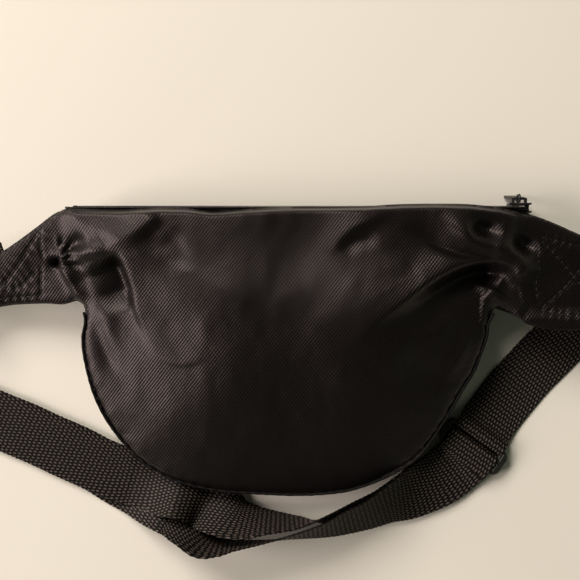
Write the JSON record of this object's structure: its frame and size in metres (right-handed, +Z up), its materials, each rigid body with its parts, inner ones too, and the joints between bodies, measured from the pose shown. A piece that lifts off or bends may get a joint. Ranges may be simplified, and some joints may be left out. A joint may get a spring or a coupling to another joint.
{
  "type": "waist pack",
  "caption": "Soft half-round waist pack with a zipped main compartment, a front pocket, two side wings and an adjustable webbing belt with a side-release buckle.",
  "frame": {"origin": "centre of the front pocket's flat face, on the surface the pack lies on", "axes": "+X along the main zip towards the end where its slider rests when closed, +Y from the round lower edge to the zip, +Z up out of the surface, through the back panel"},
  "size_m": [0.5564, 0.1955, 0.0383],
  "materials": {
    "nylon": "black coated nylon with a satin sheen",
    "webbing": "black woven webbing, matte",
    "zip_tape": "black woven zip tape",
    "zip_coil": "black nylon coil",
    "zip_metal": "black enamel",
    "plastic": "black moulded acetal, satin to gloss"
  },
  "bodies": {
    "bag": {"back_panel": "nylon", "front_panel": "nylon", "side_gusset": "nylon", "top_panel_back": "nylon", "top_panel_front": "nylon", "back_piping": "nylon", "front_piping": "nylon", "pocket_panel": "nylon", "left_wing_back_layer": "nylon", "left_wing_front_layer": "nylon", "right_wing_back_layer": "nylon", "right_wing_front_layer": "nylon", "belt_webbing_wing_run": "webbing", "belt_webbing_lower_run": "webbing", "belt_webbing_upper_run": "webbing", "left_webbing": "webbing", "pocket_zip_tape_lower": "zip_tape", "pocket_zip_tape_upper": "zip_tape", "main_zip_tape_front": "zip_tape", "main_zip_tape_back": "zip_tape", "pocket_zip_coil_lower": "zip_coil", "pocket_zip_coil_upper": "zip_coil", "main_zip_coil_front": "zip_coil", "main_zip_coil_back": "zip_coil", "main_zip_end_stop": "zip_metal", "buckle_plug": "plastic"},
    "main_slider": {"main_zip_slider": "zip_metal"},
    "main_link": {"main_zip_link": "zip_metal"},
    "main_pull": {"main_zip_pull": "zip_metal"},
    "pocket_slider": {"pocket_zip_slider": "zip_metal"},
    "pocket_pull": {"pocket_zip_pull": "zip_metal"},
    "tri_glide": {"tri_glide": "plastic"},
    "buckle_socket": {"buckle_socket": "plastic"},
    "buckle_arm_near": {"buckle_arm_near": "plastic"},
    "buckle_arm_far": {"buckle_arm_far": "plastic"}
  },
  "joints": [
    {"name": "main_zip_slide", "type": "slide", "parent": "bag", "child": "main_slider", "axis": [-1, 0, 0], "range_m": [0, 0.234]},
    {"name": "main_link_swing", "type": "hinge", "parent": "main_slider", "child": "main_link", "pos_m": [0.1265, 0.0824, 0.022], "axis": [0, 0, 1], "range_deg": [-22, 22]},
    {"name": "main_pull_swing", "type": "hinge", "parent": "main_link", "child": "main_pull", "pos_m": [0.1265, 0.0843, 0.0189], "axis": [1, 0, 0], "range_deg": [-16, 100]},
    {"name": "pocket_zip_slide", "type": "slide", "parent": "bag", "child": "pocket_slider", "axis": [-1, 0, 0], "range_m": [0, 0.15]},
    {"name": "pocket_pull_swing", "type": "hinge", "parent": "pocket_slider", "child": "pocket_pull", "pos_m": [0.0764, 0.0495, 0.00235], "axis": [0, -1, 0], "range_deg": [0, 150]},
    {"name": "tri_glide_slide", "type": "slide", "parent": "bag", "child": "tri_glide", "axis": [-0.5736, -0.8192, 0], "range_m": [-0.01, 0.01], "deforming": ["belt_webbing_wing_run", "belt_webbing_upper_run"]},
    {"name": "buckle_release", "type": "slide", "parent": "bag", "child": "buckle_socket", "axis": [0.9848, 0.1736, 0], "range_m": [0, 0.0195], "deforming": ["left_webbing"]},
    {"name": "buckle_arm_near_press", "type": "hinge", "parent": "bag", "child": "buckle_arm_near", "pos_m": [-0.23741, 0.01028, 0.0055], "axis": [0, 0, 1], "range_deg": [0, 7], "stiffness_Nm_per_rad": 0.8},
    {"name": "buckle_arm_far_press", "type": "hinge", "parent": "bag", "child": "buckle_arm_far", "pos_m": [-0.24141, 0.03293, 0.0055], "axis": [0, 0, -1], "range_deg": [0, 7], "stiffness_Nm_per_rad": 0.8}
  ]
}
